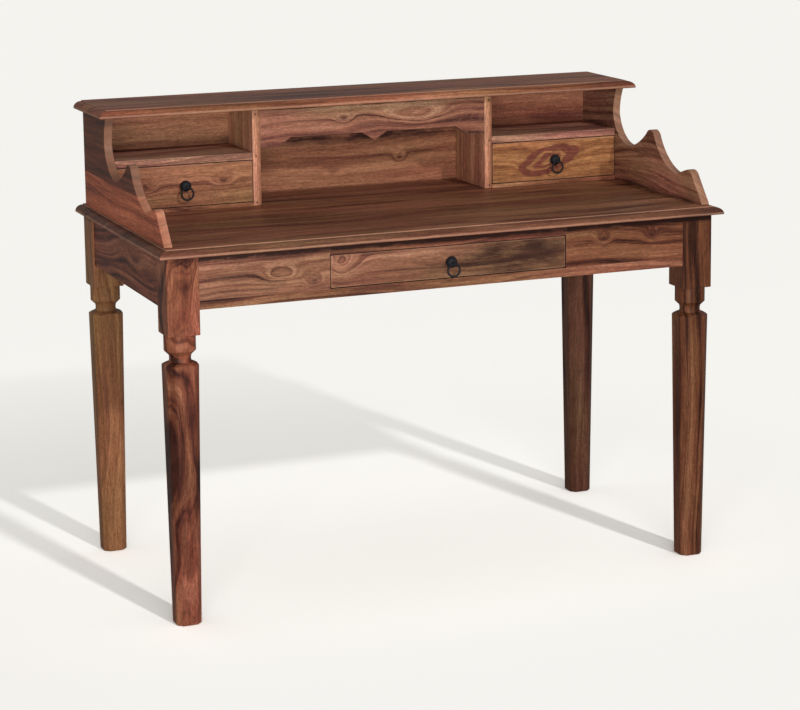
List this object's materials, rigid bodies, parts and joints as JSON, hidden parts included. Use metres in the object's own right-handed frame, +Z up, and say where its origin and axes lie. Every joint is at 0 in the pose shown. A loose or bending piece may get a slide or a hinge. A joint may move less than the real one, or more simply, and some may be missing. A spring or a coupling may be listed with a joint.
{
  "type": "computer desk",
  "caption": "Solid-wood desk on turned and faceted legs, with an apron drawer and a low hutch of small drawers and pigeonholes between scalloped gallery sides; ring pulls.",
  "frame": {"origin": "on the floor, under the middle of the desktop's outline", "axes": "+X to the right of a person seated at the desk, +Y to the back, +Z up"},
  "size_m": [1.2, 0.6202, 0.963],
  "materials": {
    "wood_top": "satin, stained tobacco brown",
    "wood_frame": "satin, stained reddish brown",
    "wood_drawer_front": "satin, golden brown",
    "wood_inner": "plain planed wood",
    "plywood": "plain veneered plywood",
    "black_iron": "black, waxed",
    "steel_nut": "plain"
  },
  "bodies": {
    "desk": {"apron_back": "wood_frame", "apron_front": "wood_frame", "apron_left": "wood_frame", "apron_right": "wood_frame", "bay_floor_left": "wood_inner", "bay_floor_right": "wood_inner", "corner_brace_back_left": "wood_inner", "corner_brace_back_right": "wood_inner", "corner_brace_front_left": "wood_inner", "corner_brace_front_right": "wood_inner", "desktop": "wood_top", "divider_left": "wood_frame", "divider_right": "wood_frame", "drawer_kicker_left": "wood_inner", "drawer_kicker_right": "wood_inner", "drawer_runner_left": "wood_inner", "drawer_runner_right": "wood_inner", "hutch_back": "wood_frame", "hutch_top": "wood_top", "leg_back_left": "wood_frame", "leg_back_right": "wood_frame", "leg_front_left": "wood_frame", "leg_front_right": "wood_frame", "shelf_left": "wood_frame", "shelf_right": "wood_frame", "side_panel_left": "wood_frame", "side_panel_right": "wood_frame", "valance": "wood_frame"},
    "drawer_centre": {"drawer_front_centre": "wood_drawer_front", "drawer_side_centre_left": "wood_inner", "drawer_side_centre_right": "wood_inner", "drawer_back_centre": "wood_inner", "drawer_bottom_centre": "plywood", "pull_knob_centre": "black_iron", "pull_nut_centre": "steel_nut"},
    "ring_centre": {"pull_ring_centre": "black_iron"},
    "drawer_left": {"drawer_front_left": "wood_drawer_front", "drawer_side_left_left": "wood_inner", "drawer_side_left_right": "wood_inner", "drawer_back_left": "wood_inner", "drawer_bottom_left": "plywood", "pull_knob_left": "black_iron", "pull_nut_left": "steel_nut"},
    "ring_left": {"pull_ring_left": "black_iron"},
    "drawer_right": {"drawer_front_right": "wood_drawer_front", "drawer_side_right_left": "wood_inner", "drawer_side_right_right": "wood_inner", "drawer_back_right": "wood_inner", "drawer_bottom_right": "plywood", "pull_knob_right": "black_iron", "pull_nut_right": "steel_nut"},
    "ring_right": {"pull_ring_right": "black_iron"}
  },
  "joints": [
    {"name": "drawer_centre_slide", "type": "slide", "parent": "desk", "child": "drawer_centre", "axis": [0, -1, 0], "range_m": [0, 0.3]},
    {"name": "ring_centre_swing", "type": "hinge", "parent": "drawer_centre", "child": "ring_centre", "pos_m": [0, -0.3015, 0.6715], "axis": [-1, 0, 0], "range_deg": [-35, 195]},
    {"name": "drawer_left_slide", "type": "slide", "parent": "desk", "child": "drawer_left", "axis": [0, -1, 0], "range_m": [0, 0.12]},
    {"name": "ring_left_swing", "type": "hinge", "parent": "drawer_left", "child": "ring_left", "pos_m": [-0.4175, 0.103, 0.7945], "axis": [-1, 0, 0], "range_deg": [-35, 195]},
    {"name": "drawer_right_slide", "type": "slide", "parent": "desk", "child": "drawer_right", "axis": [0, -1, 0], "range_m": [0, 0.12]},
    {"name": "ring_right_swing", "type": "hinge", "parent": "drawer_right", "child": "ring_right", "pos_m": [0.4175, 0.103, 0.7945], "axis": [-1, 0, 0], "range_deg": [-35, 195]}
  ]
}
